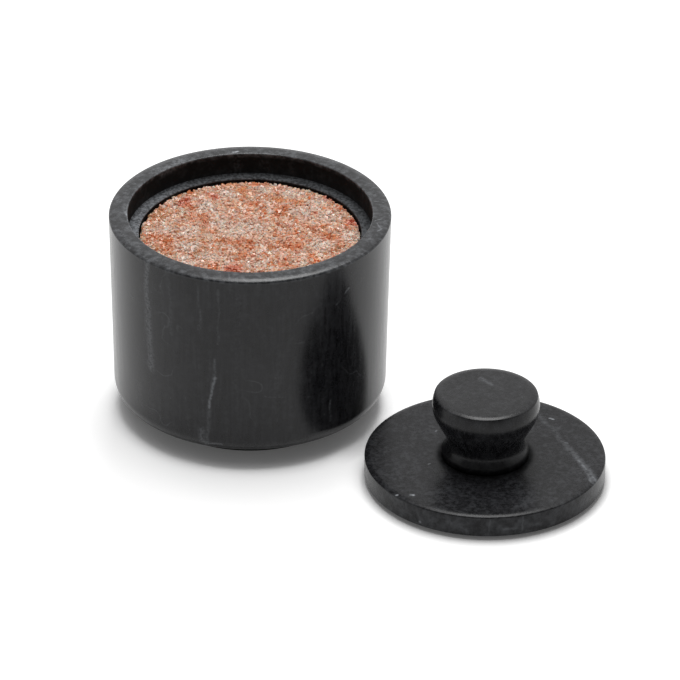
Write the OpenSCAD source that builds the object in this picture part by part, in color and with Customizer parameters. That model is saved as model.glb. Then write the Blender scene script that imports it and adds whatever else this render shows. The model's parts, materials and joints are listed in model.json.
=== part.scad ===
// Stone salt cellar: a turned bowl on a recessed foot, filled with coarse salt,
// and its loose lid, which lies flat on the table beside the bowl.
// Millimetres. The origin is the bowl's axis at the table top, with +Z up.

/* [Edges] */
// How far a top rolls over before its crisp edge, in degrees
edge_roll = 18; // [12:1:35]

/* [Bowl] */
// Height of the rim above the table
bowl_h = 77.8; // [55:0.1:110]
// Width of the rim's top, from the lid's recess to the outer wall
rim_w = 6.7; // [5:0.1:20]
// How far the tapered wall comes in between the rim and the underside
wall_draft = 1.5; // [0:0.1:6]
// Rounding of the rim's crisp outer edge
rim_round = 0.8; // [0.2:0.1:1.5]
// Radius of the soft roll between the rim's top and that edge
rim_roll = 9.6; // [2:0.1:10]
// Rounding where the wall turns in to the underside
heel_round = 6.6; // [2:0.1:10]

/* [Foot] */
// How far the foot is set back under the wall
foot_set = 12.7; // [9:0.1:18]
// Height of the bowl's underside above the table
underside_h = 6.2; // [4:0.1:10]
// Cove between the foot and the underside
foot_cove = 2; // [0.5:0.1:2.4]
// Rounding of the foot's lower edge
foot_round = 0.6; // [0.2:0.1:1]

/* [Cup] */
// Inside diameter of the cup that holds the salt
cup_d = 78.8; // [60:0.2:120]
// Thickness of stone between the cup's floor and the underside
cup_floor = 10; // [6:0.5:16]
// Rounding between the cup's wall and its floor
cup_round = 8; // [3:0.5:12]
// Rounding of the ledge's inner edge
ledge_round = 0.5; // [0.2:0.1:0.8]

/* [Lid seat] */
// Width of the ledge that the lid rests on, round the cup
ledge_w = 3.9; // [1.5:0.1:8]
// Depth of the recess below the rim
seat_depth = 8.1; // [5:0.1:12]
// Rounding of the recess's upper edge
mouth_round = 0.5; // [0.2:0.1:1.5]

/* [Lid] */
// Clearance round the lid in its seat
lid_gap = 0.9; // [0.3:0.1:2]
// How far the lid's face sits below the rim when it is on
lid_set = 0; // [0:0.1:1]
// Rounding of the lid's crisp upper edge
lid_round = 0.5; // [0.2:0.1:1]
// Radius of the soft roll between the lid's face and that edge
lid_roll = 6; // [1.5:0.1:7]
// Rounding of the lid's lower edge
lid_under_round = 0.6; // [0.2:0.1:1.2]
// Height of the spigot under the lid, which reaches into the cup
spigot_h = 1.4; // [0.8:0.1:4]
// Clearance round the spigot in the cup
spigot_gap = 0.7; // [0.3:0.1:2]
// Rounding of the spigot's lower edge
spigot_round = 0.4; // [0.1:0.1:0.7]
// Space between the bowl and the lid that lies beside it
lid_apart = 5.4; // [1:0.1:60]
// Direction from the bowl to the lid, in degrees round from the bowl's right
lid_bearing = -31.5; // [-180:0.1:180]

/* [Knob] */
// Widest diameter of the knob's head
knob_d = 37.8; // [34:0.2:41]
// Height of the knob above the lid's face
knob_h = 24.8; // [22:0.1:30]
// How far below the knob's top the head is widest, as a share of the knob's height
head_drop_share = 0.18; // [0.1:0.005:0.2]
// Radius of the head's bulge, as a share of the knob's height
head_bulge_share = 0.435; // [0.25:0.005:0.5]
// Rounding of the head's crisp top edge
head_round = 0.5; // [0.2:0.1:1.2]
// Radius of the soft roll between the knob's top and that edge
head_roll = 12; // [4:0.1:12]
// Diameter of the neck at its narrowest
neck_d = 27.4; // [23.4:0.2:30]
// How high above the lid's face the neck is narrowest, as a share of the knob's height
neck_rise_share = 0.26; // [0.22:0.005:0.32]
// Radius of the cove that forms the neck, as a share of the knob's height
neck_cove_share = 0.235; // [0.12:0.005:0.245]
// Diameter of the collar that stands on the lid
collar_d = 30.6; // [29:0.2:32]

/* [Knob pin] */
// Diameter of the steel pin that holds the knob
pin_d = 6; // [4:0.5:8]
// Depth of the pin in the lid
pin_in_lid = 5; // [3:0.5:6]
// Depth of the pin in the knob
pin_in_knob = 11; // [6:0.5:14]
// Thickness of the adhesive round the pin
bond_gap = 0.1; // [0.05:0.05:0.3]

/* [Foot pad] */
// Margin between the soft pad and the foot's side
pad_margin = 6.8; // [3:0.1:15]
// Thickness of the pad
pad_t = 1.5; // [1:0.1:2.5]
// How far the pad stands out of the foot
pad_proud = 0.6; // [0.3:0.1:0.9]
// Clearance round the pad in its recess
pad_gap = 0.3; // [0.1:0.1:0.6]

/* [Salt] */
// Drop from the ledge to the heap's highest crests
salt_drop = 0.4; // [0.2:0.1:20]
// Rounding of the heap where it falls away to the cup's wall
salt_shoulder = 2; // [1:0.1:4]
// Height of the heap's swells, from the lowest dip to the highest crest
swell_h = 0.9; // [0.3:0.1:2]
// Distance from one crest to the next
swell_d = 9.6; // [8:0.1:16]
// Clearance between the salt and the cup's wall
salt_gap = 0.2; // [0.1:0.1:0.5]

/* [Hidden] */
$fn = 180;
// Overrun of every cut past the face that it opens
over = 1;

stone_colour = [0.16, 0.16, 0.17];
salt_colour = [0.86, 0.56, 0.46];
pad_colour = [0.05, 0.05, 0.05];
steel_colour = [0.62, 0.63, 0.64];

// Radii of the bowl's section, from the cup outwards to the rim
cup_r = cup_d / 2;
seat_r = cup_r + ledge_w;
rim_r = seat_r + rim_w;
// and from there down and back inwards to the pad
heel_r = rim_r - wall_draft;
foot_r = heel_r - foot_set;
pad_r = foot_r - pad_margin;
foot_z = pad_proud;
cup_z = underside_h + cup_floor;
ledge_z = bowl_h - seat_depth;
// Lean of the outer wall from upright
wall_lean = atan(wall_draft / (bowl_h - underside_h));

lid_r = seat_r - lid_gap;
lid_t = seat_depth - lid_set;
spigot_r = cup_r - spigot_gap;
// Height of the lid's face while the lid stands on its spigot on the table
lid_top = spigot_h + lid_t;
lid_at = toward(lid_bearing, rim_r + lid_apart + lid_r);

knob_r = knob_d / 2;
collar_r = collar_d / 2;
bond_r = pin_d / 2 + bond_gap;
head_bulge = knob_h * head_bulge_share;
neck_cove = knob_h * neck_cove_share;
// Section centres, as [radius, height above the lid's face]
bulge_at = [knob_r - head_bulge, knob_h * (1 - head_drop_share)];
cove_at = [neck_d / 2 + neck_cove, knob_h * neck_rise_share];
edge_rise = edge_z(knob_h, head_roll, head_round) - bulge_at.y;
edge_at = bulge_at + [sqrt((head_bulge - head_round) ^ 2 - edge_rise ^ 2), edge_rise];
// Direction from the bulge's centre to where the crisp top edge takes over
edge_angle = atan2(edge_rise, edge_at.x - bulge_at.x);
// The straight flank that touches the bulge above and the cove below
flank = cove_at - bulge_at;
flank_angle = atan2(flank.y, flank.x) + acos((head_bulge + neck_cove) / norm(flank));
// Angle below the level at which the cove meets the collar's side
collar_angle = acos((cove_at.x - collar_r) / neck_cove);
// Straight steps that each arc of a turned profile is drawn with
arc_steps = 12;

salt_top = ledge_z - salt_drop;
salt_r = cup_r - salt_gap;
// The heap's swells are the sum of three waves that cross, each with its own
// direction in degrees and a length that is a share of the crests' distance
wave_turns = [12, 81, 140];
wave_length_shares = [1, 1.22, 0.86];
// The heap is drawn on a square grid with two steps from crest to crest
heap_step = swell_d / 2;
heap_count = ceil(cup_r / heap_step) + 1;

function toward(angle, distance) = distance * [cos(angle), sin(angle)];

function arc(centre, r, from, to) =
    [for (i = [0:arc_steps]) centre + toward(from + (to - from) * i / arc_steps, r)];

// Centre of a round of radius r at height z that touches the leaning outer wall
function wall_round_at(z, r) =
    [rim_r - (r + (bowl_h - z) * sin(wall_lean)) / cos(wall_lean), z];

// Height of a crisp edge's centre, where a top at that height rolls over to it
function edge_z(top, roll, r) = top - roll + (roll - r) * cos(edge_roll);

function mean(values) = values * [for (v = values) 1] / len(values);

// Height of the heap's surface at a place in plan
function heap_z(at) = salt_top - swell_h * (1 - mean([
    for (i = [0:len(wave_turns) - 1])
        cos(360 * at * toward(wave_turns[i], 1) / (swell_d * wave_length_shares[i]) + wave_turns[i])
])) / 2;

// The points of an eased edge, from the wall's direction up to the flat top
function eased_edge(centre, r, roll, from) = concat(
    arc(centre, r, from, 90 - edge_roll),
    arc(centre - toward(90 - edge_roll, roll - r), roll, 90 - edge_roll, 90)
);

// What a rounding of radius r takes off a square corner, or adds in an inner one.
// towards holds the signs of the corner's direction from the material.
module corner(at, r, towards) {
    translate(at)
        mirror([towards.x < 0 ? 1 : 0, 0])
            mirror([0, towards.y < 0 ? 1 : 0])
                translate([-r, -r])
                    difference() {
                        square(r);
                        circle(r);
                    }
}

// The leaning outer wall with its rounded rim and heel, filled to the axis
module outer_section() {
    heel_at = wall_round_at(underside_h + heel_round, heel_round);
    rim_at = wall_round_at(edge_z(bowl_h, rim_roll, rim_round), rim_round);
    polygon(concat(
        [[0, underside_h]],
        arc(heel_at, heel_round, -90, -wall_lean),
        eased_edge(rim_at, rim_round, rim_roll, -wall_lean),
        [[0, bowl_h]]
    ));
}

// The foot and the cove that leads into the underside
module foot_section() {
    difference() {
        translate([0, foot_z])
            square([foot_r, underside_h + over - foot_z]);
        corner([foot_r, foot_z], foot_round, [1, -1]);
    }
    corner([foot_r, underside_h], foot_cove, [-1, 1]);
}

// The cup, the lid's seat above it and the rounded edges of both
module hollow_section() {
    difference() {
        translate([0, cup_z])
            square([cup_r, bowl_h + over - cup_z]);
        corner([cup_r, cup_z], cup_round, [1, -1]);
    }
    translate([0, ledge_z])
        square([seat_r, seat_depth + over]);
    corner([cup_r, ledge_z], ledge_round, [-1, 1]);
    corner([seat_r, bowl_h], mouth_round, [-1, 1]);
}

module bowl() {
    color(stone_colour)
        difference() {
            rotate_extrude()
                difference() {
                    union() {
                        outer_section();
                        foot_section();
                    }
                    hollow_section();
                }
            translate([0, 0, foot_z - over])
                cylinder(r = pad_r + pad_gap, h = over + pad_t - pad_proud);
        }
}

module foot_pad() {
    color(pad_colour)
        cylinder(r = pad_r, h = pad_t);
}

// A block from the cup's floor up to the swelling surface of the heap, wider than the
// cup. Its grid runs from corner to corner, row by row, and its sides are flat.
module heap_block() {
    side = 2 * heap_count;
    row = side + 1;
    grid = [for (j = [0:side], i = [0:side]) heap_step * [i - heap_count, j - heap_count]];
    base = [for (k = [0, side, row * row - 1, row * side]) grid[k]];
    near = [for (i = [0:side]) i];
    right = [for (j = [0:side]) j * row + side];
    far = [for (i = [0:side]) row * row - 1 - i];
    left = [for (j = [0:side]) (side - j) * row];
    foot = row * row;
    points = concat(
        [for (at = grid) [at.x, at.y, heap_z(at)]],
        [for (at = base) [at.x, at.y, cup_z - over]]
    );
    polyhedron(points, concat(
        [for (j = [0:side - 1], i = [0:side - 1]) let (k = j * row + i) [k, k + row, k + row + 1]],
        [for (j = [0:side - 1], i = [0:side - 1]) let (k = j * row + i) [k, k + row + 1, k + 1]],
        [
            concat(near, [foot + 1, foot]),
            concat(right, [foot + 2, foot + 1]),
            concat(far, [foot + 3, foot + 2]),
            concat(left, [foot, foot + 3]),
            [foot, foot + 1, foot + 2, foot + 3]
        ]
    ));
}

// The salt fills the cup, falls away in a round shoulder just short of its wall and
// swells gently on top
module salt_fill() {
    color(salt_colour)
        intersection() {
            rotate_extrude()
                difference() {
                    translate([0, cup_z])
                        square([salt_r, salt_top - cup_z]);
                    corner([salt_r, cup_z], cup_round, [1, -1]);
                    corner([salt_r, salt_top], salt_shoulder, [1, 1]);
                }
            heap_block();
        }
}

// The plate's section from its underside up, with the spigot below that
module plate_section() {
    spigot_at = [spigot_r - spigot_round, spigot_round - spigot_h];
    under_at = [lid_r - lid_under_round, lid_under_round];
    upper_at = [lid_r - lid_round, edge_z(lid_t, lid_roll, lid_round)];
    polygon(concat(
        [[0, -spigot_h]],
        arc(spigot_at, spigot_round, -90, 0),
        [[spigot_r, 0]],
        arc(under_at, lid_under_round, -90, 0),
        eased_edge(upper_at, lid_round, lid_roll, 0),
        [[0, lid_t]]
    ));
}

module lid_plate() {
    color(stone_colour)
        translate([lid_at.x, lid_at.y, spigot_h])
            difference() {
                rotate_extrude()
                    plate_section();
                translate([0, 0, lid_t - pin_in_lid])
                    cylinder(r = bond_r, h = pin_in_lid + over);
            }
}

// Half of the knob's section. The cove starts on the collar's side, and from there
// the flank, the bulge and the top's eased edge each run smoothly into the next.
module knob_section() {
    polygon(concat(
        [[0, 0], [collar_r, 0]],
        arc(cove_at, neck_cove, 180 + collar_angle, 180 + flank_angle),
        arc(bulge_at, head_bulge, flank_angle, edge_angle),
        eased_edge(edge_at, head_round, head_roll, edge_angle),
        [[0, knob_h]]
    ));
}

module lid_knob() {
    color(stone_colour)
        translate([lid_at.x, lid_at.y, lid_top])
            difference() {
                rotate_extrude()
                    knob_section();
                translate([0, 0, -over])
                    cylinder(r = bond_r, h = pin_in_knob + over);
            }
}

// The pin stands on the bottom of the lid's hole and stops short of the knob's
module knob_pin() {
    color(steel_colour)
        translate([lid_at.x, lid_at.y, lid_top - pin_in_lid])
            cylinder(d = pin_d, h = pin_in_lid + pin_in_knob - bond_gap);
}

bowl();
foot_pad();
salt_fill();
lid_plate();
lid_knob();
knob_pin();
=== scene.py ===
# %% [markdown]
# A salt cellar turned from near-black marble: a bowl on a small foot, filled with coarse pink salt, and its
# loose lid, a round plate with a turned knob, which lies on the table beside the bowl. Everything but the salt
# is a turned shape, so each stone piece is half a section spun round its own axis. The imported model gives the
# sizes that the pieces share, and this script gives them their rounded edges, their stone and their salt.

import json
import math
import random

import bmesh
import bpy
from mathutils import Matrix, Vector, noise


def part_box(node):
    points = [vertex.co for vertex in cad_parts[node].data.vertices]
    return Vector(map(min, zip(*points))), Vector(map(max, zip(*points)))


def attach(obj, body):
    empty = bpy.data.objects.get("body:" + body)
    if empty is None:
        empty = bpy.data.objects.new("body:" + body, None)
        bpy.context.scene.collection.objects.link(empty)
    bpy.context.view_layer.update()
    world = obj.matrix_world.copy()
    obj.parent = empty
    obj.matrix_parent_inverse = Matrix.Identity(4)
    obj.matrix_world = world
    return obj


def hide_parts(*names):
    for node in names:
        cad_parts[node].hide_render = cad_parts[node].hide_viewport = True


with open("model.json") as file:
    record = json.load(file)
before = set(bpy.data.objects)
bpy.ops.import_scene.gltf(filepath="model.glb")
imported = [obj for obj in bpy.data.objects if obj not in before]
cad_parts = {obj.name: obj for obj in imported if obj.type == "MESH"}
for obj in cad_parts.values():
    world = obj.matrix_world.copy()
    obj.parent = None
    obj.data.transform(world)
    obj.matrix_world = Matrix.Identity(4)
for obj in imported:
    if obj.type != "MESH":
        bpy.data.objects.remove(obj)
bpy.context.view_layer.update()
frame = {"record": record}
MM = 0.001

# %% [markdown]
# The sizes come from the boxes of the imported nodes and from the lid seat's mount, so that the two models agree.
# Only what a box can't tell, such as a rounding or the height of the neck, is written here in millimetres.

# %% Sizes
bowl_low, bowl_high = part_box("bowl")
plate_low, plate_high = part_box("lid_plate")
knob_low, knob_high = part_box("lid_knob")
pad_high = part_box("foot_pad")[1]
pin_low, pin_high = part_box("knob_pin")
salt_low, salt_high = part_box("salt_fill")
seat_mount = next(m for m in frame["record"]["mounts"] if m["name"] == "lid_seat")

rim_r = bowl_high.x
bowl_h = bowl_high.z
foot_z = bowl_low.z
seat_r = seat_mount["dims"]["r_mm"] * MM
lid_at = (plate_low + plate_high) / 2
lid_at.z = 0.0
plate_r = (plate_high.x - plate_low.x) / 2
plate_top = plate_high.z
knob_r = (knob_high.x - knob_low.x) / 2
knob_h = knob_high.z - knob_low.z

WALL_LEAN, FOOT_SET_BACK, LEDGE_WIDE = 1.5 * MM, 12.7 * MM, 3.9 * MM
UNDERSIDE_H, SEAT_DEPTH = 6.2 * MM, 8.1 * MM
heel_r = rim_r - WALL_LEAN
foot_r = heel_r - FOOT_SET_BACK
cup_r = seat_r - LEDGE_WIDE
cup_floor = salt_low.z
ledge_z = bowl_h - SEAT_DEPTH
print(f"rim {rim_r / MM:.1f}, seat {seat_r / MM:.1f}, plate {plate_r / MM:.1f}, knob {knob_r / MM:.1f} mm in radius")

# %% [markdown]
# The camera comes from fitting the rim, the foot and the lid in the photograph together: a long lens about two
# metres away, looking down at 30 degrees, with a slight roll. The frame is square, 680 pixels a side.

# %% Camera
FRAME_PX = 680
FOCAL_PX = 6459
SENSOR_MM = 36
camera_at = Vector((32.1, -1997.8, 1179.2)) * MM
camera_down = math.radians(30.0)
camera_roll = math.radians(0.45)

camera_data = bpy.data.cameras.new("camera")
camera_data.sensor_width = SENSOR_MM
camera_data.lens = FOCAL_PX * SENSOR_MM / FRAME_PX
camera = bpy.data.objects.new("camera", camera_data)
level = Matrix.Rotation(math.pi / 2 - camera_down, 4, "X") @ Matrix.Rotation(camera_roll, 4, "Z")
camera.matrix_world = Matrix.Translation(camera_at) @ level
bpy.context.scene.collection.objects.link(camera)
bpy.context.scene.camera = camera
bpy.context.scene.view_settings.view_transform = "Standard"
print(f"lens {camera_data.lens:.1f} mm")

# %% [markdown]
# A shader is a small network of nodes. One helper adds a node, sets its properties and fills its inputs with
# either a number or another node's output, which keeps each material short enough to read.

# %% Node helpers
def add(tree, kind, inputs=None, **settings):
    """A new shader node's outputs. An input takes a value or another node's output."""
    made = tree.nodes.new("ShaderNode" + kind)
    for name, value in settings.items():
        setattr(made, name, value)
    for name, value in (inputs or {}).items():
        if isinstance(value, bpy.types.NodeSocket):
            tree.links.new(value, made.inputs[name])
        else:
            made.inputs[name].default_value = value
    return made.outputs


def new_material(name, **constants):
    """A material with one Principled shader, whose constant sockets are set here by name."""
    made = bpy.data.materials.new(name)
    made.use_nodes = True
    shader = made.node_tree.nodes["Principled BSDF"]
    for socket, value in constants.items():
        shader.inputs[socket.replace("_", " ")].default_value = value
    return made, made.node_tree, shader


def scaled(tree, value, low, high, new_low=0.0, new_high=1.0):
    """value, eased from the range low to high into the range new_low to new_high."""
    return add(
        tree,
        "MapRange",
        {"Value": value, "From Min": low, "From Max": high, "To Min": new_low, "To Max": new_high},
        interpolation_type="SMOOTHSTEP",
    )["Result"]


def noise_at(tree, point, size, detail=2.0, stretch=(1.0, 1.0, 1.0), distortion=0.0):
    """Cloudy noise, whose blobs are about size across, drawn out along an axis where stretch is above 1."""
    squeezed = add(tree, "Mapping", {"Vector": point, "Scale": [1 / s for s in stretch]})["Vector"]
    return add(
        tree,
        "TexNoise",
        {"Vector": squeezed, "Scale": 1 / size, "Detail": detail, "Distortion": distortion},
    )


def math_node(tree, operation, a, b=0.0):
    return add(tree, "Math", {0: a, 1: b}, operation=operation)["Value"]


def mixed(tree, share, a, b):
    """Colour a where share is 0 and colour b where it is 1."""
    return add(tree, "Mix", {"Factor": share, "A": a, "B": b}, data_type="RGBA")["Result"]


# %% [markdown]
# The table is a white floor under a softbox that hangs almost straight above it, which keeps the shadow
# close to the foot. For camera and glossy rays the floor also glows, and glows less where the objects close it
# in: painted shade round the foot and the lid, on top of the lamps' own shadow. A small lamp further back puts
# the bright line on every front edge, because an edge that rolls over by half the angle between that lamp and
# the camera mirrors the one to the other. The world adds even light from all round. Camera, glossy and
# transmission rays see it at full white, so that the stone mirrors a white studio. A grey cloth hangs behind
# the camera and leans over it, as the dim room did: without it the upward slopes of the knob would mirror white.

# %% Light path
def seen_ray(tree):
    """1 for the rays that show a background: those of the camera, of reflections and of glass."""
    path = add(tree, "LightPath")
    seen = math_node(tree, "MAXIMUM", path["Is Camera Ray"], path["Is Glossy Ray"])
    return math_node(tree, "MAXIMUM", seen, path["Is Transmission Ray"])


# %% World
FILL_LIGHT = 0.25
world = bpy.data.worlds.new("white studio")
bpy.context.scene.world = world
world.use_nodes = True
sky = world.node_tree
fill = math_node(sky, "MULTIPLY_ADD", seen_ray(sky), 1 - FILL_LIGHT)
fill.node.inputs[2].default_value = FILL_LIGHT
sky.links.new(fill, sky.nodes["Background"].inputs["Strength"])
sky.nodes["Background"].inputs["Color"].default_value = (1, 1, 1, 1)

# %% Lamps
LAMP_TO = Vector((0.03, 0.0, 0.03))
LAMP_AWAY = 1.3


def square_lamp(name, side, power, back, right):
    """A square lamp aimed at the set, tilted from overhead by the angles back and right in degrees."""
    data = bpy.data.lights.new(name, "AREA")
    data.shape = "SQUARE"
    data.size = side
    data.energy = power
    away = Vector((math.tan(math.radians(right)), math.tan(math.radians(back)), 1)).normalized()
    aimed = away.to_track_quat("Z", "Y").to_matrix().to_4x4()
    lamp = bpy.data.objects.new(name, data)
    lamp.matrix_world = Matrix.Translation(LAMP_TO + LAMP_AWAY * away) @ aimed
    bpy.context.scene.collection.objects.link(lamp)
    print(f"{name}: {side} m across, {power} W")


square_lamp("softbox", side=0.66, power=8.7, back=3, right=0)
square_lamp("back light", side=0.4, power=4.8, back=27.5, right=4)

# %% Floor and cloth
FLOOR_HALF = 3.0
FLOOR_WHITE = 0.92
FLOOR_GLOW = 0.06
OPEN_GLOW = 0.4
GLOW_REACH = 12 * MM
GLOW_SHUT, GLOW_OPEN = 0.5, 0.84
CLOTH_HALF = (5.0, 2.5)
CLOTH_BACK = 2.7
CLOTH_LEAN = math.radians(68)
CLOTH_GREY = 0.2


def stage_sheet(name, half, place, material):
    """A flat sheet that dresses the set and isn't part of the object."""
    form = bmesh.new()
    spread = place @ Matrix.Diagonal((*half, 1, 1))
    bmesh.ops.create_grid(form, x_segments=1, y_segments=1, size=1, matrix=spread)
    mesh = bpy.data.meshes.new(name)
    form.to_mesh(mesh)
    form.free()
    mesh.materials.append(material)
    sheet = bpy.data.objects.new(name, mesh)
    bpy.context.scene.collection.objects.link(sheet)


white, tree, shader = new_material("white floor", Roughness=1.0, Specular_IOR_Level=0.0)
shader.inputs["Base Color"].default_value = (FLOOR_WHITE, FLOOR_WHITE, FLOOR_WHITE, 1)
shader.inputs["Emission Color"].default_value = (1, 1, 1, 1)
# The glow follows ambient occlusion: painted shade on the floor round the foot and the lid, also seen in the stone's
# reflections.
occlusion_for_painted_shade = add(tree, "AmbientOcclusion", {"Distance": GLOW_REACH}, samples=8)["AO"]
glow_with_painted_shade = scaled(tree, occlusion_for_painted_shade, GLOW_SHUT, GLOW_OPEN, FLOOR_GLOW, FLOOR_GLOW + OPEN_GLOW)
tree.links.new(math_node(tree, "MULTIPLY", seen_ray(tree), glow_with_painted_shade), shader.inputs["Emission Strength"])
stage_sheet("floor", (FLOOR_HALF, FLOOR_HALF), Matrix.Identity(4), white)

grey, tree, shader = new_material("grey cloth", Roughness=1.0, Specular_IOR_Level=0.0)
shader.inputs["Base Color"].default_value = (0, 0, 0, 1)
shader.inputs["Emission Color"].default_value = (1, 1, 1, 1)
shader.inputs["Emission Strength"].default_value = CLOTH_GREY
lean = Matrix.Rotation(CLOTH_LEAN, 4, "X")
hung = Matrix.Translation((0, -CLOTH_BACK, 0)) @ lean @ Matrix.Translation((0, CLOTH_HALF[1], 0))
stage_sheet("grey_cloth", CLOTH_HALF, hung, grey)

# %% [markdown]
# A lathe leaves a shape that is the same all the way round. Here the cutter's path is half a section, drawn with
# a pen that runs in straight lines and arcs: a line extrudes the last vertex, and an arc spins it about a centre
# in the section's plane. One full spin about the upright axis then turns the section into the solid.
# Rounding a corner only needs the two straight runs that meet there, so a whole section is a short list of
# corners, each with the radius of its rounding. The tops have a polisher's edge: the flat first rolls over by
# some 18 degrees in a soft curve, and then breaks crisply into the wall. That roll is what catches the lamp.

# %% Turning
AROUND = 256
ARC_STEP = math.radians(9)


class Section:
    """Half a section in the XZ plane, drawn from the axis round and back to it."""

    def __init__(self, radius, height):
        self.form = bmesh.new()
        self.tip = self.form.verts.new((radius, 0, height))

    def line(self, radius, height):
        self.tip = bmesh.ops.extrude_vert_indiv(self.form, verts=[self.tip])["verts"][0]
        self.tip.co = (radius, 0, height)

    def arc(self, centre, turn):
        """Runs round centre, anticlockwise for a positive turn in radians."""
        drawn = bmesh.ops.spin(
            self.form,
            geom=[self.tip],
            cent=(centre[0], 0, centre[1]),
            axis=(0, -1, 0),
            angle=turn,
            steps=max(3, round(abs(turn) / ARC_STEP)),
        )
        self.tip = next(g for g in drawn["geom_last"] if isinstance(g, bmesh.types.BMVert))

    def corners(self, points):
        """Runs through (radius, height, rounding) corners. The last point only ends the run."""
        for (r, z, rounding), after in zip(points, points[1:]):
            here = Vector((r, z))
            back = (Vector((self.tip.co.x, self.tip.co.z)) - here).normalized()
            ahead = (Vector(after[:2]) - here).normalized()
            half = back.angle(ahead) / 2
            if rounding == 0:
                self.line(r, z)
                continue
            self.line(*(here + back * rounding / math.tan(half)))
            centre = here + (back + ahead).normalized() * rounding / math.sin(half)
            left_turn = -back.cross(ahead) > 0
            self.arc(centre, (math.pi - 2 * half) * (1 if left_turn else -1))
        self.line(*points[-1][:2])

    def turned(self, name, at=Vector()):
        """The finished object, with its axis moved to at."""
        bmesh.ops.spin(
            self.form,
            geom=self.form.verts[:] + self.form.edges[:],
            cent=(0, 0, 0),
            axis=(0, 0, 1),
            angle=2 * math.pi,
            steps=AROUND,
            use_merge=True,
        )
        bmesh.ops.remove_doubles(self.form, verts=self.form.verts, dist=0.001 * MM)
        bmesh.ops.recalc_face_normals(self.form, faces=self.form.faces)
        bmesh.ops.translate(self.form, verts=self.form.verts, vec=at)
        return finished(self.form, name)


EDGE_ROLL = math.radians(18)


def eased(radius, top, roll, edge):
    """The corners where a wall of that radius meets a flat top: a crisp edge, and a soft roll above it."""
    run = roll * math.tan(EDGE_ROLL / 2) + edge * math.tan((math.pi / 2 - EDGE_ROLL) / 2)
    return [
        (radius, top - run * math.sin(EDGE_ROLL), edge),
        (radius - run * math.cos(EDGE_ROLL), top, roll),
    ]


def finished(form, name):
    """An object at the origin that holds the form, smooth, with its flats kept flat in the shading."""
    mesh = bpy.data.meshes.new(name)
    form.to_mesh(mesh)
    form.free()
    mesh.shade_smooth()
    piece = bpy.data.objects.new(name, mesh)
    bpy.context.scene.collection.objects.link(piece)
    evened = piece.modifiers.new("flats stay flat", "WEIGHTED_NORMAL")
    evened.mode = "FACE_AREA"
    print(f"{name}: {len(mesh.polygons)} faces, {[round(s / MM, 1) for s in piece.dimensions]} mm")
    return piece


def dress(piece, body, slot, material, *nodes):
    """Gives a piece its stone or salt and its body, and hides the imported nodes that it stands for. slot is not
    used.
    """
    piece.data.materials.append(material)
    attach(piece, body)
    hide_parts(*nodes)


# %% [markdown]
# The stone is a dense, nearly black marble with a satin polish. Its ground is charcoal with faint clouds and fine
# streaks that run up the bowl, and a few pale veins and flecks break it. The veins that the photograph shows lie
# where it shows them: each is a short straight line in the stone, and the shader measures how far a point is from
# it. A little noise bends the veins, while flecks shorter than three millimetres keep their place. A sparse web of
# much fainter veins covers every side, so that no side is left plain.

# %% Veins
VEIN_PALE = (0.42, 0.44, 0.47, 1)


def vein_line(tree, point, start, end, width, strength):
    """strength on the line from start to end, fading to nothing at width from it."""
    start, end = Vector(start), Vector(end)
    along = end - start
    offset = add(tree, "VectorMath", {0: point, 1: start}, operation="SUBTRACT")["Vector"]
    run = add(tree, "VectorMath", {0: offset, 1: along / along.length_squared}, operation="DOT_PRODUCT")["Value"]
    share = add(tree, "Clamp", {"Value": run})["Result"]
    nearest = add(tree, "VectorMath", {0: along, "Scale": share}, operation="SCALE")["Vector"]
    away = add(tree, "VectorMath", {0: offset, 1: nearest}, operation="DISTANCE")["Value"]
    return scaled(tree, away, 0.0, width, strength, 0.0)


def on_wall(angle, height):
    """A point on the bowl's outer wall, from its angle in degrees and its height in millimetres."""
    share = (height * MM - UNDERSIDE_H) / (bowl_h - UNDERSIDE_H)
    radius = heel_r + (rim_r - heel_r) * share
    turn = math.radians(angle)
    return Vector((radius * math.cos(turn), radius * math.sin(turn), height * MM))


def on_rim(x, y):
    """A point on the rim, from the bowl's axis in millimetres."""
    return Vector((x * MM, y * MM, bowl_h))


def on_plate(x, y):
    """A point on the lid plate's face, measured from the plate's centre in millimetres."""
    return lid_at + Vector((x * MM, y * MM, plate_top))


def on_side(angle, height):
    """A point on the lid plate's side, from its angle in degrees and its height in millimetres."""
    turn = math.radians(angle)
    return lid_at + Vector((plate_r * math.cos(turn), plate_r * math.sin(turn), height * MM))


def on_knob(x, y):
    """A point on the knob's top, from its axis in millimetres."""
    return lid_at + Vector((x * MM, y * MM, knob_high.z))


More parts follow.
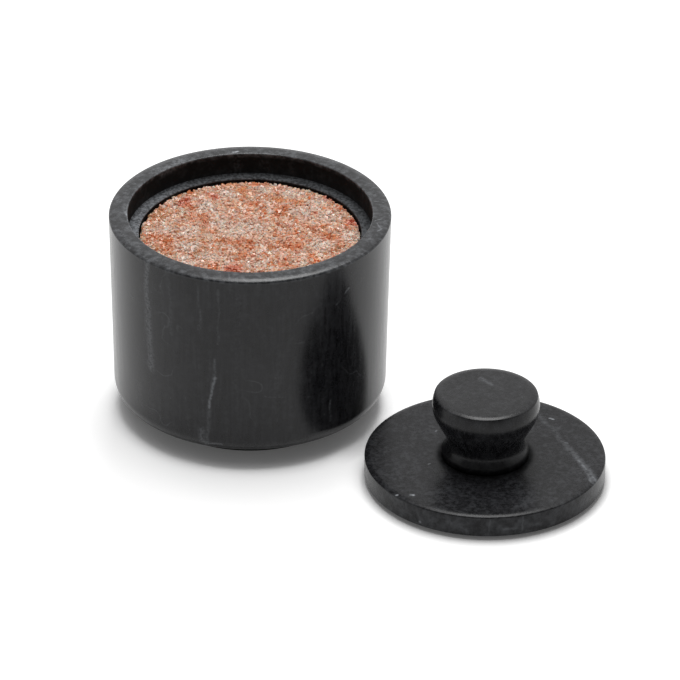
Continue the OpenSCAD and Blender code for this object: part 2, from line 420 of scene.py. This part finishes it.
# Each vein is its two ends, its width in millimetres and its strength.
bowl_veins = [
    (on_wall(-135.6, 80), on_wall(-135.6, 61), 2.0, 0.19),
    (on_wall(-135.6, 61), on_wall(-134, 34), 2.6, 0.16),
    (on_wall(-124, 76), on_wall(-123, 52), 1.5, 0.04),
    (on_wall(-103.7, 45), on_wall(-105.5, 30), 1.0, 0.10),
    (on_wall(-104, 38), on_wall(-106, 25), 0.9, 0.35),
    (on_wall(-106, 25), on_wall(-107.5, 9), 1.3, 0.12),
    (on_wall(-109.6, 15), on_wall(-108.8, 9), 2.4, 0.16),
    (on_wall(-107, 9.5), on_wall(-100.5, 10), 1.0, 0.30),
    (on_wall(-52, 62.7), on_wall(-45, 66.8), 0.9, 0.30),
    (on_wall(-81, 52.7), on_wall(-66, 50.7), 0.5, 0.06),
    (on_wall(-83, 31), on_wall(-63, 28.4), 0.5, 0.05),
    (on_wall(-53.7, 24), on_wall(-53.4, 15.5), 0.8, 0.12),
    (on_wall(-110, 74), on_wall(-110, 55), 0.9, 0.06),
    (on_wall(-102, 74), on_wall(-102.5, 52), 0.8, 0.07),
    (on_rim(-6.6, 44.1), on_rim(-5.2, 44.7), 0.8, 0.9),
    (on_rim(-32, 29), on_rim(-25, 37.5), 3.2, 0.16),
    (on_rim(-30, 33), on_rim(-35, 31), 1.6, 0.14),
    (on_rim(-24, 35), on_rim(-27, 40), 1.4, 0.14),
    (on_rim(-44, -1), on_rim(-43.4, -3), 0.8, 0.45),
    (on_rim(-6.8, -43.6), on_rim(-6.6, -49.6), 0.7, 0.16),
    (on_rim(43.6, 8.7), on_rim(49, 7.7), 0.45, 0.40),
    (on_rim(48.6, 4.6), on_rim(49.5, 4.2), 0.4, 0.45),
    (on_rim(43.8, -6.2), on_rim(46.6, -4.6), 0.4, 0.35),
    (on_rim(45, -8), on_rim(46.6, -11.4), 0.4, 0.40),
    (on_rim(46.6, -11.4), on_rim(45, -13.4), 0.4, 0.35),
]
lid_veins = [
    (on_plate(20, 27), on_plate(29, 5), 1.5, 0.10),
    (on_plate(29, 5), on_plate(35, -8), 2.0, 0.15),
    (on_plate(35, -8), on_plate(39, -20.5), 2.2, 0.22),
    (on_plate(32, -2), on_plate(39.6, -19.5), 0.9, 0.36),
    (on_plate(36, -13), on_plate(37.4, -20), 0.8, 0.34),
    (on_plate(12, -34), on_plate(16, -31), 2.6, 0.06),
    (on_plate(22, -32), on_plate(24, -30), 1.6, 0.06),
    (on_plate(23.4, 24.9), on_plate(24.6, 24.2), 0.7, 0.7),
    (on_plate(28.4, 8.2), on_plate(29.2, 7.8), 0.6, 0.6),
    (on_plate(-31.6, -28.1), on_plate(-31, -28), 0.7, 0.9),
    (on_plate(-26.2, -28), on_plate(-25.3, -28.2), 0.75, 0.9),
    (on_plate(-19.9, -7.3), on_plate(-19.4, -6.8), 0.5, 0.4),
    (on_plate(-17.2, 15.2), on_plate(-16.8, 16), 0.5, 0.35),
    (on_side(-88.5, 8.5), on_side(-88, 2.5), 0.6, 0.10),
    (on_side(-73.5, 8.5), on_side(-73, 3), 0.7, 0.09),
    (on_side(-108, 6.5), on_side(-99, 4), 2.2, 0.09),
    (on_side(-125, 7), on_side(-121, 3.5), 1.6, 0.08),
    (on_side(-82, 4.2), on_side(-76, 4), 1.0, 0.09),
    (on_side(-69, 4.6), on_side(-64, 4.2), 1.2, 0.09),
    (on_side(-123, 3.2), on_side(-122.4, 3.0), 0.6, 0.5),
]
knob_veins = [
    (on_knob(-1.5, 10.5), on_knob(1.5, 6), 1.6, 0.14),
]
print(f"{len(bowl_veins)} veins on the bowl, {len(lid_veins)} on the plate, {len(knob_veins)} on the knob")


# %% Stone
FLECK_MOST = 3 * MM
SWAY_SIZE, SWAY = 9 * MM, 3 * MM
CRUMBLE_SIZE, FOLD_SIZE, PATCH_SIZE, DRIFT_SIZE = 1.1 * MM, 34 * MM, 22 * MM, 5 * MM
PUFF_SIZE, SPECK_APART, CLOUD_SIZE, STREAK_SIZE = 2.6 * MM, 6.5 * MM, 24 * MM, 1.3 * MM
CRYSTAL_SIZE, PIT_SIZE, PIT_DEEP = 0.5 * MM, 0.35 * MM, 0.02 * MM
GROUND_DARK, GROUND_LIGHT = (0.006, 0.006, 0.007, 1), (0.018, 0.018, 0.020, 1)
GROUND_SHADED = (0.008, 0.008, 0.008, 1)


def marble(name, veins, marks_and_shade, grain, polish, haze=0.0, mottle=(0.0, 0.02)):
    """Satin-polished black marble, streaked along grain.

    A duller polish has a lower refractive index and more haze, which is added to the roughness. The fine pale clouds
    run between the two strengths in mottle. The third argument is a function of the tree and the point, which
    returns
    extra paleness and a share that is 1 where the stone is rougher and painted darker, its reflection nearly cut:
    painted shade.
    """
    made, tree, shader = new_material(name, IOR=polish)
    point = add(tree, "TexCoord")["Object"]

    sway = noise_at(tree, point, SWAY_SIZE, 3.0)["Color"]
    sway = add(tree, "VectorMath", {0: sway, 1: (0.5, 0.5, 0.5)}, operation="SUBTRACT")["Vector"]
    sway = add(tree, "VectorMath", {0: sway, "Scale": SWAY}, operation="SCALE")["Vector"]
    bent = add(tree, "VectorMath", {0: point, 1: sway}, operation="ADD")["Vector"]

    pale = 0.0
    for start, end, width, strength in veins:
        place = bent if (end - start).length > FLECK_MOST else point
        pale = math_node(tree, "MAXIMUM", vein_line(tree, place, start, end, width * MM, strength), pale)
    crumble = noise_at(tree, point, CRUMBLE_SIZE, 3.0)["Fac"]
    pale = math_node(tree, "MULTIPLY", pale, scaled(tree, crumble, 0.3, 0.62, 0.25, 1.15))

    folds = noise_at(tree, bent, FOLD_SIZE, 3.0)["Fac"]
    fold_line = math_node(tree, "ABSOLUTE", math_node(tree, "SUBTRACT", folds, 0.5))
    patches = scaled(tree, noise_at(tree, point, PATCH_SIZE)["Fac"], 0.5, 0.68)
    wisps = math_node(tree, "MULTIPLY", scaled(tree, fold_line, 0.0, 0.007, 0.07, 0.0), patches)
    pale = math_node(tree, "MAXIMUM", pale, wisps)

    drift = scaled(tree, noise_at(tree, point, DRIFT_SIZE, 4.0, grain)["Fac"], 0.48, 0.72)
    frost = math_node(tree, "MULTIPLY", drift, scaled(tree, crumble, 0.4, 0.7, 0.0, 0.035))
    pale = math_node(tree, "MAXIMUM", pale, frost)
    puffs = noise_at(tree, point, PUFF_SIZE, 5.0)["Fac"]
    pale = math_node(tree, "ADD", pale, scaled(tree, puffs, 0.42, 0.75, *mottle))

    specks = add(tree, "TexVoronoi", {"Vector": point, "Scale": 1 / SPECK_APART})
    rare = math_node(tree, "GREATER_THAN", specks["Color"], 0.8)
    dots = math_node(tree, "MULTIPLY", scaled(tree, specks["Distance"], 0.02, 0.07, 0.2, 0.0), rare)
    pale = math_node(tree, "MAXIMUM", pale, dots)

    clouds = noise_at(tree, point, CLOUD_SIZE, 4.0)["Fac"]
    streaks = noise_at(tree, point, STREAK_SIZE, 3.0, grain)["Fac"]
    crystals = noise_at(tree, point, CRYSTAL_SIZE)["Fac"]
    tone = math_node(tree, "ADD", clouds, math_node(tree, "MULTIPLY", streaks, 1.5))
    tone = math_node(tree, "ADD", tone, math_node(tree, "MULTIPLY", crystals, 0.6))
    ground = mixed(tree, scaled(tree, tone, 1.15, 1.95), GROUND_DARK, GROUND_LIGHT)
    rough = scaled(tree, math_node(tree, "ADD", streaks, crystals), 0.7, 1.3, 0.2 + haze, 0.27 + haze)
    extra, dull_and_shaded = marks_and_shade(tree, point)
    pale = math_node(tree, "ADD", pale, extra)
    # Where that share is 1, a darker ground and a nearly cut reflection paint shade, and a higher roughness dulls
    # the polish.
    ground = mixed(tree, dull_and_shaded, ground, GROUND_SHADED)
    rough = math_node(tree, "ADD", rough, math_node(tree, "MULTIPLY", dull_and_shaded, 0.35))
    tree.links.new(scaled(tree, dull_and_shaded, 0.0, 1.0, 0.5, 0.06), shader.inputs["Specular IOR Level"])
    tree.links.new(mixed(tree, pale, ground, VEIN_PALE), shader.inputs["Base Color"])
    rough = math_node(tree, "ADD", rough, math_node(tree, "MULTIPLY", pale, 0.2))
    tree.links.new(rough, shader.inputs["Roughness"])
    pits = noise_at(tree, point, PIT_SIZE, 2.0)["Fac"]
    bump = add(tree, "Bump", {"Height": pits, "Strength": 0.25, "Distance": PIT_DEEP})["Normal"]
    tree.links.new(bump, shader.inputs["Normal"])
    print(f"{name}: {len(tree.nodes)} nodes")
    return made


# %% [markdown]
# The bowl is one block. Its wall leans in by about a degree towards the heel, turns in under itself in a wide
# round and stops at a small foot, so that the bowl seems to float over a dark gap. Inside, the rim steps down to
# a ledge that carries the lid, and the cup below the ledge has a round bottom edge.

# %% Bowl
RIM_ROUND, RIM_ROLL, MOUTH_ROUND, HEEL_ROUND = 0.8 * MM, 9.6 * MM, 0.5 * MM, 6.6 * MM
FOOT_ROUND, FOOT_COVE, CUP_ROUND, LEDGE_ROUND = 0.6 * MM, 2.0 * MM, 8.0 * MM, 0.5 * MM
PAD_GAP = 0.3 * MM
recess_r = pad_high.x + PAD_GAP
recess_top = pad_high.z

bowl_half = Section(0, recess_top)
bowl_half.corners([
    (recess_r, recess_top, 0),
    (recess_r, foot_z, 0),
    (foot_r, foot_z, FOOT_ROUND),
    (foot_r, UNDERSIDE_H, FOOT_COVE),
    (heel_r, UNDERSIDE_H, HEEL_ROUND),
    *eased(rim_r, bowl_h, RIM_ROLL, RIM_ROUND),
    (seat_r, bowl_h, MOUTH_ROUND),
    (seat_r, ledge_z, 0),
    (cup_r, ledge_z, LEDGE_ROUND),
    (cup_r, cup_floor, CUP_ROUND),
    (0, cup_floor, 0),
])
bowl = bowl_half.turned("bowl_stone")

# %% [markdown]
# Below the rim's top, everything within the mouth's radius, the recess, the ledge, the cup and the underside, is
# rougher than the polished outside, and is painted darker with its reflection nearly cut: partly a duller finish,
# partly painted shade in the hollows and under the bowl. The ledge is painted paler. A pale, crumbly line along the
# ledge's inner edge and along the mouth is a painted highlight on those edges. The paleness is stronger on the left
# than on the right.

# %% Painted shade, roughness and paleness of the bowl's faces
DULL_SHADE_OUT, DULL_SHADE_FULL, DULL_SHADE_NONE = 0.1 * MM, 0.7 * MM, 0.3 * MM
LEDGE_PALE, LEDGE_PALE_DEEP = 0.5, 0.3 * MM
LEFT_FADE, RIGHT_SHARE = (-42 * MM, -15 * MM), 0.4
RIM_CLOUDS = (bowl_h - 2 * MM, bowl_h - 0.6 * MM)
# Each painted edge highlight is its radius and height, its width in millimetres and its strength.
EDGE_HIGHLIGHTS = [(cup_r, ledge_z, 0.8, 0.8), (seat_r, bowl_h, 0.7, 0.4)]


def bowl_marks_and_shade(tree, point):
    """Extra paleness for the rim's clouds, the ledge and the painted edge highlights, and 1 where the stone is
    rougher and painted shaded, within the mouth's radius below the rim's top.
    """
    parts = add(tree, "SeparateXYZ", {0: point})
    across = add(tree, "CombineXYZ", {0: parts["X"], 1: parts["Y"]})["Vector"]
    radius = add(tree, "VectorMath", {0: across}, operation="LENGTH")["Value"]
    height = parts["Z"]

    # Within the mouth's radius and below the rim's top the stone is rougher and painted shaded: the recess, the cup
    # and the underside.
    inside = math_node(tree, "LESS_THAN", radius, seat_r + DULL_SHADE_OUT)
    below = scaled(tree, height, bowl_h - DULL_SHADE_FULL, bowl_h - DULL_SHADE_NONE, 1.0, 0.0)
    dull_and_shaded = math_node(tree, "MULTIPLY", inside, below)

    flecks = scaled(tree, noise_at(tree, point, 0.9 * MM, 4.0)["Fac"], 0.38, 0.62, 0.3, 1.0)
    # The ledge's paleness and the painted edge highlights are full on the left and fade to 0.4 of it towards the
    # right.
    stronger_on_left = scaled(tree, parts["X"], *LEFT_FADE, 1.0, RIGHT_SHARE)
    # The ledge's face is painted paler, fading out within a third of a millimetre above and below it.
    from_ledge = math_node(tree, "ABSOLUTE", math_node(tree, "SUBTRACT", height, ledge_z))
    ledge_pale = scaled(tree, from_ledge, 0.0, LEDGE_PALE_DEEP, LEDGE_PALE, 0.0)
    extra = math_node(tree, "MULTIPLY", ledge_pale, inside)

    # Painted highlights: pale lines along the ledge's inner edge and along the mouth, broken up by the flecks.
    section = add(tree, "CombineXYZ", {0: radius, 1: height})["Vector"]
    for ring_r, ring_z, width, strength in EDGE_HIGHLIGHTS:
        away = add(tree, "VectorMath", {0: section, 1: (ring_r, ring_z, 0)}, operation="DISTANCE")["Value"]
        extra = math_node(tree, "MAXIMUM", extra, scaled(tree, away, 0.0, width * MM, strength, 0.0))
    extra = math_node(tree, "MULTIPLY", extra, math_node(tree, "MULTIPLY", flecks, stronger_on_left))

    on_top = scaled(tree, height, *RIM_CLOUDS)
    puffs = scaled(tree, noise_at(tree, point, 2.2 * MM, 5.0)["Fac"], 0.4, 0.72, 0.02, 0.18)
    return math_node(tree, "ADD", extra, math_node(tree, "MULTIPLY", on_top, puffs)), dull_and_shaded


bowl_marble = marble("bowl marble", bowl_veins, bowl_marks_and_shade, grain=(1.0, 1.0, 9.0), polish=1.355)
dress(bowl, "pot", "black_marble", bowl_marble, "bowl")

# %% [markdown]
# The lid's plate is a plain disc, eased at both edges, with a blind hole for the knob's pin. Round the knob's foot,
# on the plate and on the knob's lower neck, the stone is rougher and painted darker with its reflection nearly cut:
# painted shade under the knob's head. The plate stands on a low spigot that reaches into the cup, which keeps the
# lid from sliding about on the ledge and leaves the thin dark gap under the plate's edge that the photograph shows.

# %% Lid plate
COLLAR_R = 15.3 * MM
NECK_REACH = 3.5 * MM
NECK_SHUT, NECK_OPEN = -1.0 * MM, 5.5 * MM
SIDE_FULL, SIDE_NONE = 1.2 * MM, 0.5 * MM


def lid_clouds_and_shade(tree, point):
    """Extra paleness for the clouds in the plate's side, and how much the stone round the knob's foot is rougher and
    painted shaded.
    """
    from_axis = add(tree, "VectorMath", {0: point, 1: lid_at}, operation="SUBTRACT")["Vector"]
    parts = add(tree, "SeparateXYZ", {0: from_axis})
    across = add(tree, "CombineXYZ", {0: parts["X"], 1: parts["Y"]})["Vector"]
    radius = add(tree, "VectorMath", {0: across}, operation="LENGTH")["Value"]
    # Painted shade under the knob's head: near the knob's foot and low on it, the stone is darker and its reflection
    # nearly cut.
    near = scaled(tree, radius, COLLAR_R, COLLAR_R + NECK_REACH, 1.0, 0.0)
    low = scaled(tree, parts["Z"], plate_top + NECK_SHUT, plate_top + NECK_OPEN, 1.0, 0.0)
    below_edge = scaled(tree, parts["Z"], plate_top - SIDE_FULL, plate_top - SIDE_NONE, 1.0, 0.0)
    clouds = scaled(tree, noise_at(tree, point, 3.5 * MM, 4.0)["Fac"], 0.4, 0.7, 0.0, 0.06)
    return math_node(tree, "MULTIPLY", below_edge, clouds), math_node(tree, "MULTIPLY", near, low)


PLATE_ROUND, PLATE_ROLL, PLATE_UNDER_ROUND, PIN_GAP = 0.5 * MM, 6.0 * MM, 0.6 * MM, 0.1 * MM
SPIGOT_H, SPIGOT_ROUND, SPIGOT_GAP = 1.4 * MM, 0.4 * MM, 0.7 * MM
spigot_r = cup_r - SPIGOT_GAP
pin_r = (pin_high.x - pin_low.x) / 2
hole_r = pin_r + PIN_GAP

plate_half = Section(0, 0)
plate_half.corners([
    (spigot_r, 0, SPIGOT_ROUND),
    (spigot_r, SPIGOT_H, 0),
    (plate_r, SPIGOT_H, PLATE_UNDER_ROUND),
    *eased(plate_r, plate_top, PLATE_ROLL, PLATE_ROUND),
    (hole_r, plate_top, 0),
    (hole_r, pin_low.z, 0),
    (0, pin_low.z, 0),
])
plate = plate_half.turned("lid_plate_stone", lid_at)
plate_marble = marble(
    "lid marble", lid_veins, lid_clouds_and_shade, grain=(1.0, 1.0, 1.0), polish=1.24, haze=0.04, mottle=(0.004, 0.05)
)
dress(plate, "lid", "black_marble", plate_marble, "lid_plate")

# %% [markdown]
# The knob is the piece that a turner would be proudest of. Its top is flat, and four arcs and a straight flank
# follow: the soft roll and the crisp edge, a wide bulge, the flank that runs in under it, and a cove that forms
# the neck and ends on a short upright collar. Each arc starts where the last one ends, in the same direction, so
# the line never kinks. The bulge and the cove have known centres, and the flank is the line that touches both.

# %% Knob
HEAD_DROP, HEAD_BULGE, HEAD_ROUND, HEAD_ROLL = 0.18 * knob_h, 0.435 * knob_h, 0.5 * MM, 8.0 * MM
NECK_R, NECK_H, NECK_COVE = 13.7 * MM, 0.26 * knob_h, 0.235 * knob_h
bulge_at = Vector((knob_r - HEAD_BULGE, knob_h - HEAD_DROP))
cove_at = Vector((NECK_R + NECK_COVE, NECK_H))
roll_to_edge = (HEAD_ROLL - HEAD_ROUND) * Vector((math.sin(EDGE_ROLL), math.cos(EDGE_ROLL)))
edge_rise = HEAD_DROP - HEAD_ROLL + roll_to_edge.y
edge_at = bulge_at + Vector((math.sqrt((HEAD_BULGE - HEAD_ROUND) ** 2 - edge_rise**2), edge_rise))
roll_at = edge_at - roll_to_edge
edge_angle = math.atan2(edge_rise, edge_at.x - bulge_at.x)
flank = cove_at - bulge_at
flank_angle = math.atan2(flank.y, flank.x) + math.acos((HEAD_BULGE + NECK_COVE) / flank.length)
collar_angle = math.acos((cove_at.x - COLLAR_R) / NECK_COVE)
flank_end = cove_at - NECK_COVE * Vector((math.cos(flank_angle), math.sin(flank_angle)))

knob_half = Section(0, knob_h)
knob_half.line(roll_at.x, knob_h)
knob_half.arc(roll_at, -EDGE_ROLL)
knob_half.arc(edge_at, edge_angle - (math.pi / 2 - EDGE_ROLL))
knob_half.arc(bulge_at, flank_angle - edge_angle)
knob_half.line(*flank_end)
knob_half.arc(cove_at, collar_angle - flank_angle)
knob_half.corners([
    (COLLAR_R, 0, 0),
    (hole_r, 0, 0),
    (hole_r, pin_high.z - plate_top + PIN_GAP, 0),
    (0, pin_high.z - plate_top + PIN_GAP, 0),
])
knob = knob_half.turned("lid_knob_stone", lid_at + Vector((0, 0, plate_top)))
knob_marble = marble(
    "knob marble", knob_veins, lid_clouds_and_shade, grain=(1.0, 1.0, 3.0), polish=1.3, haze=0.02, mottle=(0.0, 0.03)
)
dress(knob, "lid", "black_marble", knob_marble, "lid_knob")

# %% [markdown]
# Two small parts are out of sight: the steel pin that holds the knob, with its ends eased, and the thin pad under
# the foot. They are finished like the rest, because a part is looked at from below and taken apart.

# %% Pin
PIN_EASE = 0.5 * MM
pin_half = Section(0, pin_low.z)
pin_half.corners([(pin_r, pin_low.z, PIN_EASE), (pin_r, pin_high.z, PIN_EASE), (0, pin_high.z, 0)])
pin = pin_half.turned("knob_pin_steel", lid_at)
steel, tree, shader = new_material("drawn steel", Metallic=1.0)
along = noise_at(tree, add(tree, "TexCoord")["Object"], 0.3 * MM, 3.0, (1.0, 1.0, 30.0))["Fac"]
tree.links.new(mixed(tree, along, (0.42, 0.42, 0.43, 1), (0.62, 0.62, 0.63, 1)), shader.inputs["Base Color"])
tree.links.new(scaled(tree, along, 0.3, 0.7, 0.25, 0.4), shader.inputs["Roughness"])
dress(pin, "lid", "steel_pin", steel, "knob_pin")

# %% Foot pad
PAD_EASE = 0.2 * MM
pad_half = Section(0, 0)
pad_half.corners([(pad_high.x, 0, PAD_EASE), (pad_high.x, pad_high.z, 0), (0, pad_high.z, 0)])
pad = pad_half.turned("foot_pad_rubber")
rubber, tree, shader = new_material("matt rubber")
skin = noise_at(tree, add(tree, "TexCoord")["Object"], 0.6 * MM, 4.0)["Fac"]
tree.links.new(mixed(tree, skin, (0.008, 0.008, 0.008, 1), (0.018, 0.018, 0.018, 1)), shader.inputs["Base Color"])
tree.links.new(scaled(tree, skin, 0.3, 0.7, 0.7, 0.9), shader.inputs["Roughness"])
grip = add(tree, "Bump", {"Height": skin, "Strength": 0.6, "Distance": 0.08 * MM})["Normal"]
tree.links.new(grip, shader.inputs["Normal"])
dress(pad, "pot", "soft_pad", rubber, "foot_pad")

# %% [markdown]
# The salt is crushed rock salt in grains of one to two millimetres. A bumpy surface with a bump map would look
# like plaster, because what makes salt look like salt is the dark gaps and the light that leaks through each
# grain. So the top layers are real crystals: a cube with its corners cut off at random, copied some thousands
# of times and laid on a jittered triangular lattice. A dozen different cubes are enough, because each copy is
# turned and sized anew. Below them lies a bed that fills the cup.

# %% Crystals
SEED = 7
SHAPES, CUTS = 12, 7
STRETCH, CUT_AT = (0.85, 1.1), (0.38, 0.5)
grain_random = random.Random(SEED)


def random_direction(source):
    return Vector([source.gauss(0, 1) for _ in range(3)]).normalized()


def crystal(number):
    """A convex crystal about 1 across, as a mesh."""
    form = bmesh.new()
    bmesh.ops.create_cube(form, size=1.0)
    stretch = [grain_random.uniform(*STRETCH) for _ in range(3)]
    bmesh.ops.scale(form, verts=form.verts, vec=stretch)
    for _ in range(CUTS):
        outward = random_direction(grain_random)
        cut = bmesh.ops.bisect_plane(
            form,
            geom=form.verts[:] + form.edges[:] + form.faces[:],
            plane_co=outward * grain_random.uniform(*CUT_AT),
            plane_no=outward,
            clear_outer=True,
        )
        rim = [g for g in cut["geom_cut"] if isinstance(g, bmesh.types.BMEdge)]
        if rim:
            bmesh.ops.contextual_create(form, geom=rim)
    bmesh.ops.recalc_face_normals(form, faces=form.faces)
    mesh = bpy.data.meshes.new(f"crystal {number}")
    form.to_mesh(mesh)
    form.free()
    return mesh


crystals = [crystal(number) for number in range(SHAPES)]
print("faces of the crystals:", [len(c.polygons) for c in crystals])

# %% [markdown]
# The heap isn't one pink. It was crushed from a banded rock, so rust, peach, cream and glassy grey grains lie in
# loose clusters. Each cluster that shows in the photograph is a place with a tint. A grain draws its own tint at
# random and is then drawn towards the clusters round it, and a little noise bends their outlines.

# %% Tints
TINTS = {
    "rust": (0.66, 0.21, 0.08),
    "red": (0.60, 0.14, 0.07),
    "brown": (0.60, 0.26, 0.12),
    "orange": (0.76, 0.27, 0.10),
    "peach": (0.76, 0.38, 0.24),
    "pink": (0.78, 0.44, 0.33),
    "cream": (0.80, 0.52, 0.38),
    "pale": (0.80, 0.56, 0.46),
}
LOOSE_MIX = ["peach"] * 9 + ["pink"] * 9 + ["cream"] * 4 + ["pale"] * 2 + ["rust", "rust", "brown"]
CLUSTERS = {
    "rust": [
        (-35, -2), (-30, -5), (-27, -11), (-9, -6), (-13, -23), (-15, 10), (-19, 13), (-20, 21), (2, 37),
        (0, 22), (-2, -16), (-3, -8), (22, 4), (27, -1), (31, -4), (16, -7), (12, -8), (14, -22), (12, 17),
    ],
    "red": [(-23, 23), (-14, 28), (-6, -25), (37, 9), (27, 26), (35, 21)],
    "brown": [(-17, -12), (-17, 3), (-20, -6), (-26, 5), (-33, 13), (-31, 16)],
    "orange": [(-8, 36), (-1, 32), (11, 26), (17, 23), (22, -18), (16, -19)],
    "pale": [
        (-29, 3), (-22, -9), (-11, 9), (-6, 1), (-9, 29), (-15, 20), (-22, -19), (-13, -17), (-21, 2), (25, -7),
        (2, 6), (14, 30), (22, 22), (18, 17), (28, 14), (35, -1), (18, -20), (2, -23), (3, 32), (-4, 5),
    ],
}
CLUSTER_REACH = {"rust": 4.2, "red": 3.8, "brown": 4.0, "orange": 4.0, "pale": 5.2}
CLUSTER_BEND, BEND_APART, BEND_LEVELS = 2.5, 5, (2.0, 63.0)
PULL, MOST_PULL = (1.0, 2.2), 0.9
LIGHTNESS = (0.76, 1.18)


def tint_at(x, y):
    """The tint of a grain at a place in millimetres, a little lighter or darker than its family."""
    tint = Vector(TINTS[grain_random.choice(LOOSE_MIX)])
    # noise_vector gives other values each time Blender starts, and noise gives the same ones.
    bend_x, bend_y = (noise.noise(Vector((x, y, level)) / BEND_APART) * CLUSTER_BEND for level in BEND_LEVELS)
    for family, places in CLUSTERS.items():
        gap = min(math.hypot(x + bend_x - cx, y + bend_y - cy) for cx, cy in places)
        pull = max(0.0, 1 - gap / CLUSTER_REACH[family]) * grain_random.uniform(*PULL)
        tint = tint.lerp(Vector(TINTS[family]), min(MOST_PULL, pull))
    light = grain_random.uniform(*LIGHTNESS)
    return [min(1.0, channel * light) for channel in tint] + [1.0]


# %% Salt surface
salt_r = salt_high.x
SALT_DROP, SALT_SHOULDER = 0.4 * MM, 2.0 * MM
SWELL_HIGH, SWELL_APART = 0.9 * MM, 9.6 * MM
SWELL_WAVES = [(12, 1.0), (81, 1.22), (140, 0.86)]
crest_z = ledge_z - SALT_DROP


def heap_height(x, y):
    """Height of the heap's surface: three waves that cross make its swells, and it ends in a shoulder."""
    height = 0.0
    for turn, length_share in SWELL_WAVES:
        turn = math.radians(turn)
        run = x * math.cos(turn) + y * math.sin(turn)
        height += math.cos(math.tau * run / (SWELL_APART * length_share) + turn) / len(SWELL_WAVES)
    dip = SWELL_HIGH * (1 - height) / 2
    past = min(SALT_SHOULDER, max(0.0, math.hypot(x, y) - (salt_r - SALT_SHOULDER)))
    fall = SALT_SHOULDER - math.sqrt(SALT_SHOULDER**2 - past**2)
    return crest_z - max(dip, fall)


# %% Laying the grains
GRAIN_STEP = 1.15 * MM
GRAIN_SIZES = (1.0 * MM, 1.7 * MM)
LAYER_DROP = 0.75 * MM
LAYERS = 3
MOST_IN_A_PIECE = 3400
JITTER = 0.35
SUNK, SUNK_SPREAD = 0.35, (-0.2, 0.3)
FROM_CUP = 0.75


def lattice(step, reach):
    """Places on a triangular lattice of that step, jittered, inside a circle of radius reach."""
    rows = math.ceil(reach / (step * math.sqrt(3) / 2))
    columns = math.ceil(reach / step) + 1
    for row in range(-rows, rows + 1):
        for column in range(-columns, columns + 1):
            x = (column + 0.5 * (row % 2)) * step + grain_random.uniform(-JITTER, JITTER) * step
            y = row * step * math.sqrt(3) / 2 + grain_random.uniform(-JITTER, JITTER) * step
            if math.hypot(x, y) < reach:
                yield x, y


placed = []
for layer in range(LAYERS):
    for x, y in lattice(GRAIN_STEP, salt_r - GRAIN_SIZES[0] / 2):
        size = grain_random.uniform(*GRAIN_SIZES) if layer == 0 else GRAIN_SIZES[1]
        depth = size * SUNK + layer * LAYER_DROP + grain_random.uniform(*SUNK_SPREAD) * MM
        reach = salt_r - size * FROM_CUP
        away = max(math.hypot(x, y), MM)
        held = min(1.0, reach / away)
        outer = held + 0.5 * size / away
        height = min(heap_height(x * held, y * held), heap_height(x * outer, y * outer)) - depth
        placed.append((Vector((x * held, y * held, height)), size, tint_at(x / MM, y / MM)))
print(f"{len(placed)} grains in {LAYERS} layers")

# %% [markdown]
# Thousands of copies are joined into a few meshes. The copy's turn, size and place go into a matrix that moves
# the small crystal mesh before it is added, and its tint is kept in an attribute that the shader reads.

# %% Grain pieces
def grain_piece(name, grains):
    """One mesh of many crystals, each with its tint."""
    form = bmesh.new()
    tint_values = []
    for at, size, tint in grains:
        shape = grain_random.choice(crystals)
        turn = Matrix.Rotation(grain_random.uniform(0, math.tau), 4, random_direction(grain_random))
        place = Matrix.Translation(at) @ turn @ Matrix.Scale(size, 4)
        shape.transform(place)
        form.from_mesh(shape)
        shape.transform(place.inverted())
        tint_values += tint * len(shape.vertices)
    mesh = bpy.data.meshes.new(name)
    form.to_mesh(mesh)
    form.free()
    tints = mesh.color_attributes.new("tint", "FLOAT_COLOR", "POINT")
    tints.data.foreach_set("color", tint_values)
    piece = bpy.data.objects.new(name, mesh)
    bpy.context.scene.collection.objects.link(piece)
    print(f"{name}: {len(grains)} grains, {len(mesh.polygons)} faces")
    return piece


def salt_material(name):
    """Cloudy pink crystal, which light enters and leaves again nearby."""
    made, tree, shader = new_material(name, IOR=1.5, Subsurface_Weight=0.6, Subsurface_Scale=1.2 * MM)
    shader.inputs["Subsurface Radius"].default_value = (1.0, 0.5, 0.35)
    tint = add(tree, "Attribute", attribute_name="tint")["Color"]
    point = add(tree, "TexCoord")["Object"]
    mottle = noise_at(tree, point, 0.5 * MM, 3.0)["Fac"]
    lighter = mixed(tree, 0.15, tint, (0.9, 0.78, 0.7, 1))
    tree.links.new(mixed(tree, scaled(tree, mottle, 0.42, 0.72), tint, lighter), shader.inputs["Base Color"])
    tree.links.new(scaled(tree, mottle, 0.3, 0.7, 0.15, 0.35), shader.inputs["Roughness"])
    frost = add(tree, "Bump", {"Height": mottle, "Strength": 0.2, "Distance": 0.1 * MM})["Normal"]
    tree.links.new(frost, shader.inputs["Normal"])
    return made


crystal_salt = salt_material("crystal salt")
for number, first in enumerate(range(0, len(placed), MOST_IN_A_PIECE)):
    grains = grain_piece(f"salt_grains_{number + 1}", placed[first : first + MOST_IN_A_PIECE])
    dress(grains, "pot", "pink_salt", crystal_salt)
for shape in crystals:
    bpy.data.meshes.remove(shape)

# %% Salt bed
BED_DROP = 2.4 * MM
# The bed's darker colour is painted shade, seen through the gaps between the grains.
BED_SHADED, BED_LIGHT = (0.30, 0.09, 0.045, 1), (0.62, 0.34, 0.24, 1)
bed_top = crest_z - BED_DROP
bed_half = Section(0, bed_top)
bed_half.corners([(salt_r, bed_top, SALT_SHOULDER), (salt_r, cup_floor, CUP_ROUND), (0, cup_floor, 0)])
bed = bed_half.turned("salt_bed")
bed_salt, tree, shader = new_material("packed salt", Roughness=0.6)
fine = noise_at(tree, add(tree, "TexCoord")["Object"], 0.9 * MM, 3.0)["Fac"]
tree.links.new(mixed(tree, fine, BED_SHADED, BED_LIGHT), shader.inputs["Base Color"])
dress(bed, "pot", "pink_salt", bed_salt, "salt_fill")
